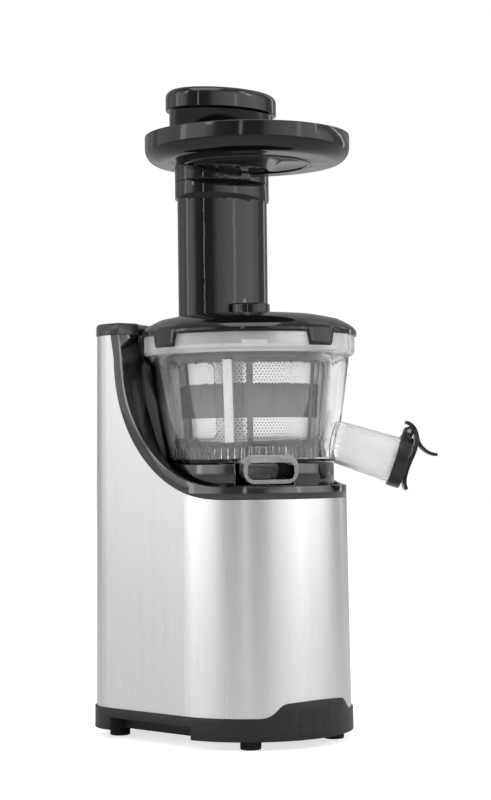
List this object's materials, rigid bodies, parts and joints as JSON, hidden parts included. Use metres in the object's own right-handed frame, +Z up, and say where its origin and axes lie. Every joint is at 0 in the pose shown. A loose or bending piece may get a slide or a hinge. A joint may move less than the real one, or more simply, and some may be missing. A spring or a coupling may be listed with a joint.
{
  "type": "cold press juicer",
  "caption": "Upright slow juicer with a steel-clad body, a clear juicing bowl over it, a black lid with a tall chute, a round hopper tray and a pusher.",
  "frame": {"origin": "on the floor the feet stand on, under the axis of the bowl and the auger", "axes": "-Y to the front, +Y to the back column, +X to the right of a person who looks at the front from the -Y side, +Z up along the bowl's axis"},
  "size_m": [0.1876, 0.1935, 0.4635],
  "materials": {
    "brushed_wrap": "fine vertical brushing",
    "dark_panel": "fine grain",
    "black_gloss": "polished",
    "smoke_cap": "satin",
    "dark_plinth": "fine grain",
    "foot_rubber": "moulded",
    "screw_steel": "plain",
    "gear_steel": "sintered",
    "shaft_steel": "ground",
    "gear_nylon": "moulded",
    "gearbox_grey": "moulded",
    "plate_metal": "die cast",
    "bronze": "sintered",
    "seal_rubber": "moulded",
    "motor_steel": "zinc grey",
    "core_iron": "stacked sheets",
    "copper": "enamelled wire",
    "button_black": "satin",
    "board_green": "lacquered",
    "capacitor_yellow": "plain",
    "clear_bowl": "polished clear plastic",
    "silicone_white": "matt",
    "cage_smoke": "dark see-through plastic",
    "strainer_dark": "polished",
    "mesh_steel": "pierced sheet",
    "auger_dark": "satin",
    "cap_black": "satin",
    "lid_black": "polished",
    "tray_black": "polished"
  },
  "bodies": {
    "base": {"metal_wrap": "brushed_wrap", "back_panel": "dark_panel", "deck_and_column": "black_gloss", "column_cap": "smoke_cap", "plinth": "dark_plinth", "bottom_cover": "dark_panel", "rubber_feet": "foot_rubber", "cover_screws": "screw_steel", "bowl_seat": "black_gloss", "gear_axles": "shaft_steel", "gearbox_housing": "gearbox_grey", "gearbox_plate": "plate_metal", "shaft_bushes": "bronze", "shaft_seal": "seal_rubber", "gearbox_screws": "screw_steel", "motor_can": "motor_steel", "motor_end_bell": "plate_metal", "stator_core": "core_iron", "stator_coils": "copper", "motor_bearings": "bronze", "switch_body": "dark_panel", "cord_inlet": "seal_rubber", "circuit_board": "board_green", "board_posts": "gear_nylon", "run_capacitor": "capacitor_yellow", "interlock_sensor": "button_black"},
    "drive": {"drive_shaft": "shaft_steel", "output_gear": "gear_steel"},
    "second": {"second_gear": "gear_nylon"},
    "first": {"first_gear": "gear_nylon"},
    "rotor": {"rotor_core": "core_iron", "motor_shaft": "shaft_steel", "motor_fan": "gear_nylon"},
    "bowl_set": {"bowl": "clear_bowl", "drive_seal": "silicone_white", "idler_pins": "shaft_steel", "strainer_frame": "strainer_dark", "strainer_mesh": "mesh_steel", "cap_ring": "cap_black", "cap_pin": "shaft_steel"},
    "auger_set": {"auger": "auger_dark", "sun_gear": "gear_nylon", "hex_socket": "shaft_steel"},
    "idler_1": {"idler_gear_1": "gear_nylon"},
    "idler_2": {"idler_gear_2": "gear_nylon"},
    "cage": {"brush_cage": "cage_smoke", "wiper_blades": "silicone_white"},
    "flap": {"cap_flap": "cap_black", "cap_plug": "seal_rubber"},
    "lid_set": {"lid": "lid_black", "lid_magnet": "shaft_steel", "lid_gasket": "silicone_white", "auger_bush": "bronze"},
    "tray_set": {"tray": "tray_black"},
    "pusher": {"plunger": "tray_black", "pusher_head": "tray_black"},
    "rocker": {"rocker_button": "button_black"}
  },
  "joints": [
    {"name": "drive_spin", "type": "hinge", "parent": "base", "child": "drive", "pos_m": [0, 0, 0.155], "axis": [0, 0, 1], "continuous": true},
    {"name": "second_spin", "type": "hinge", "parent": "base", "child": "second", "pos_m": [0, 0.04375, 0.145], "axis": [0, 0, 1], "continuous": true},
    {"name": "first_spin", "type": "hinge", "parent": "base", "child": "first", "pos_m": [0.02967, 0.03176, 0.135], "axis": [0, 0, 1], "continuous": true},
    {"name": "rotor_spin", "type": "hinge", "parent": "base", "child": "rotor", "pos_m": [0.00603, 0.0276, 0.08], "axis": [0, 0, 1], "continuous": true},
    {"name": "bowl_lift", "type": "slide", "parent": "base", "child": "bowl_set", "axis": [0, 0, 1], "range_m": [0, 0.07]},
    {"name": "auger_spin", "type": "hinge", "parent": "bowl_set", "child": "auger_set", "pos_m": [0, 0, 0.24], "axis": [0, 0, 1], "continuous": true},
    {"name": "idler_1_spin", "type": "hinge", "parent": "bowl_set", "child": "idler_1", "pos_m": [0.02598, -0.015, 0.203], "axis": [0, 0, 1], "continuous": true},
    {"name": "idler_2_spin", "type": "hinge", "parent": "bowl_set", "child": "idler_2", "pos_m": [-0.02598, 0.015, 0.203], "axis": [0, 0, 1], "continuous": true},
    {"name": "cage_spin", "type": "hinge", "parent": "bowl_set", "child": "cage", "pos_m": [0, 0, 0.24], "axis": [0, 0, 1], "continuous": true},
    {"name": "flap_hinge", "type": "hinge", "parent": "bowl_set", "child": "flap", "pos_m": [0.08654, -0.07262, 0.21743], "axis": [-0.6428, -0.766, 0], "range_deg": [0, 70]},
    {"name": "lid_turn", "type": "hinge", "parent": "bowl_set", "child": "lid_set", "pos_m": [0, 0, 0.29], "axis": [0, 0, 1], "range_deg": [0, 15]},
    {"name": "tray_lift", "type": "slide", "parent": "lid_set", "child": "tray_set", "axis": [0, 0, 1], "range_m": [0, 0.04]},
    {"name": "pusher_lift", "type": "slide", "parent": "tray_set", "child": "pusher", "axis": [0, 0, 1], "range_m": [0, 0.12]},
    {"name": "rocker_tilt", "type": "hinge", "parent": "base", "child": "rocker", "pos_m": [0, 0.0974, 0.07], "axis": [1, 0, 0], "range_deg": [-8, 8]}
  ],
  "couplings": [
    {"joint": "second_spin", "follows": "drive_spin", "ratio": -4},
    {"joint": "first_spin", "follows": "drive_spin", "ratio": 14.286},
    {"joint": "rotor_spin", "follows": "drive_spin", "ratio": -57.143},
    {"joint": "auger_spin", "follows": "drive_spin", "ratio": 1},
    {"joint": "idler_1_spin", "follows": "drive_spin", "ratio": -1},
    {"joint": "idler_2_spin", "follows": "drive_spin", "ratio": -1},
    {"joint": "cage_spin", "follows": "drive_spin", "ratio": -0.33333}
  ]
}
